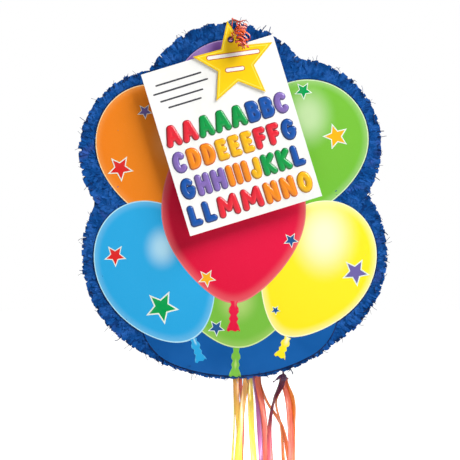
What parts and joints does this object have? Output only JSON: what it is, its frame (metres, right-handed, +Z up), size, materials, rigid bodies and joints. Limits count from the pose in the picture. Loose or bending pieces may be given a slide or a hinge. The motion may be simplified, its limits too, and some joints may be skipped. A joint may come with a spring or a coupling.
{
  "type": "pull-ribbon pinata",
  "caption": "Flat card pinata shaped as a cluster of balloons, with tissue fringe, a ribbon-pulled trap door and a hanging tag of letter stickers.",
  "frame": {"origin": "centre of the hanging ring's bore, at the top and in the middle of the depth", "axes": "+Z up along the drum's height, +X to the right seen from the front, front faces -Y, and Y is the thin way through"},
  "size_m": [0.3934, 0.1109, 0.7476],
  "materials": {
    "drum_card": "uncoated corrugated card",
    "tab_card": "uncoated grey card",
    "clear_plastic": "clear moulded plastic",
    "blue_tissue": "crepe tissue, fringed",
    "print_card": "printed and varnished card",
    "paper_tape": "gummed paper tape",
    "star_card": "printed card, satin",
    "sheet_card": "coated release paper",
    "glue": "tacky adhesive dot",
    "sticker_red": "printed vinyl",
    "sticker_green": "printed vinyl",
    "sticker_blue": "printed vinyl",
    "sticker_purple": "printed vinyl",
    "sticker_orange": "printed vinyl",
    "sticker_yellow": "printed vinyl",
    "curling_ribbon": "glossy curling ribbon",
    "staple_wire": "bright staple wire",
    "release_purple": "glossy ribbon, wound",
    "ribbon_redorange": "thin plastic ribbon",
    "ribbon_orange": "thin plastic ribbon",
    "ribbon_gold": "thin plastic ribbon",
    "ribbon_yellow": "thin plastic ribbon",
    "ribbon_magenta": "thin plastic ribbon"
  },
  "bodies": {
    "drum": {"front_panel": "drum_card", "back_panel": "drum_card", "wall_top": "drum_card", "wall_upper_left": "drum_card", "wall_lower_left": "drum_card", "wall_bottom": "drum_card", "wall_lower_right": "drum_card", "wall_upper_right": "drum_card", "glue_tabs_front": "tab_card", "glue_tabs_back": "tab_card", "hanger_plate": "tab_card", "hang_ring": "clear_plastic", "tie_staple": "staple_wire", "tie_ribbon": "curling_ribbon", "border_fringe": "blue_tissue", "front_print": "print_card", "side_fringe_1": "blue_tissue", "side_fringe_2": "blue_tissue", "side_fringe_3": "blue_tissue", "side_fringe_4": "blue_tissue", "back_fringe": "blue_tissue", "fill_hinge_upper": "paper_tape", "trap_hinge_fixed": "paper_tape"},
    "fill_flap": {"fill_door": "drum_card", "fill_hinge_lower": "paper_tape", "fill_fringe": "blue_tissue", "fill_tab": "paper_tape"},
    "trap": {"trap_door": "drum_card", "trap_hinge_moving": "paper_tape", "trap_fringe": "blue_tissue", "release_washer": "tab_card", "release_knot": "ribbon_redorange"},
    "release": {"release_tie": "release_purple", "release_ribbon_1": "ribbon_redorange", "release_ribbon_2": "ribbon_redorange", "release_ribbon_3": "ribbon_orange", "release_ribbon_4": "ribbon_orange"},
    "tie_end": {"bend_knot": "curling_ribbon"},
    "tag": {"tag_loop": "curling_ribbon", "tie_knot": "curling_ribbon", "ribbon_curls": "curling_ribbon", "star_tag": "star_card", "glue_dot": "glue", "sticker_sheet": "sheet_card", "stickers_red": "sticker_red", "stickers_green": "sticker_green", "stickers_blue": "sticker_blue", "stickers_purple": "sticker_purple", "stickers_orange": "sticker_orange", "stickers_yellow": "sticker_yellow"},
    "decoy_1": {"decoy_ribbon_1": "ribbon_gold"},
    "decoy_2": {"decoy_ribbon_2": "ribbon_yellow"},
    "decoy_3": {"decoy_ribbon_3": "ribbon_redorange"},
    "decoy_4": {"decoy_ribbon_4": "ribbon_gold"},
    "decoy_5": {"decoy_ribbon_5": "ribbon_yellow"},
    "decoy_6": {"decoy_ribbon_6": "ribbon_magenta"},
    "decoy_7": {"decoy_ribbon_7": "ribbon_redorange"},
    "decoy_8": {"decoy_ribbon_8": "ribbon_orange"}
  },
  "joints": [
    {"name": "trap_door_hinge", "type": "hinge", "parent": "drum", "child": "trap", "pos_m": [0.11973, 0, -0.42056], "axis": [0, -1, 0], "range_deg": [0, 72]},
    {"name": "release_ribbons_swivel", "type": "hinge", "parent": "trap", "child": "release", "pos_m": [0.06749, 0, -0.45441], "axis": [0, 1, 0], "range_deg": [0, 72]},
    {"name": "fill_door_hinge", "type": "hinge", "parent": "drum", "child": "fill_flap", "pos_m": [0, 0.035, -0.12], "axis": [1, 0, 0], "range_deg": [0, 110]},
    {"name": "tag_lift", "type": "hinge", "parent": "drum", "child": "tie_end", "pos_m": [0, -0.0525, 0.002], "axis": [-1, 0, 0], "range_deg": [-2, 80]},
    {"name": "tag_swing", "type": "hinge", "parent": "tie_end", "child": "tag", "pos_m": [0, -0.0525, 0.002], "axis": [0, 1, 0], "range_deg": [-12, 12]},
    {"name": "decoy_1_pull", "type": "slide", "parent": "drum", "child": "decoy_1", "axis": [0, 0, -1], "range_m": [0, 0.015]},
    {"name": "decoy_2_pull", "type": "slide", "parent": "drum", "child": "decoy_2", "axis": [0, 0, -1], "range_m": [0, 0.015]},
    {"name": "decoy_3_pull", "type": "slide", "parent": "drum", "child": "decoy_3", "axis": [0, 0, -1], "range_m": [0, 0.015]},
    {"name": "decoy_4_pull", "type": "slide", "parent": "drum", "child": "decoy_4", "axis": [0, 0, -1], "range_m": [0, 0.015]},
    {"name": "decoy_5_pull", "type": "slide", "parent": "drum", "child": "decoy_5", "axis": [0, 0, -1], "range_m": [0, 0.015]},
    {"name": "decoy_6_pull", "type": "slide", "parent": "drum", "child": "decoy_6", "axis": [0, 0, -1], "range_m": [0, 0.015]},
    {"name": "decoy_7_pull", "type": "slide", "parent": "drum", "child": "decoy_7", "axis": [0, 0, -1], "range_m": [0, 0.015]},
    {"name": "decoy_8_pull", "type": "slide", "parent": "drum", "child": "decoy_8", "axis": [0, 0, -1], "range_m": [0, 0.015]}
  ],
  "couplings": [
    {"joint": "release_ribbons_swivel", "follows": "trap_door_hinge", "ratio": 1}
  ]
}
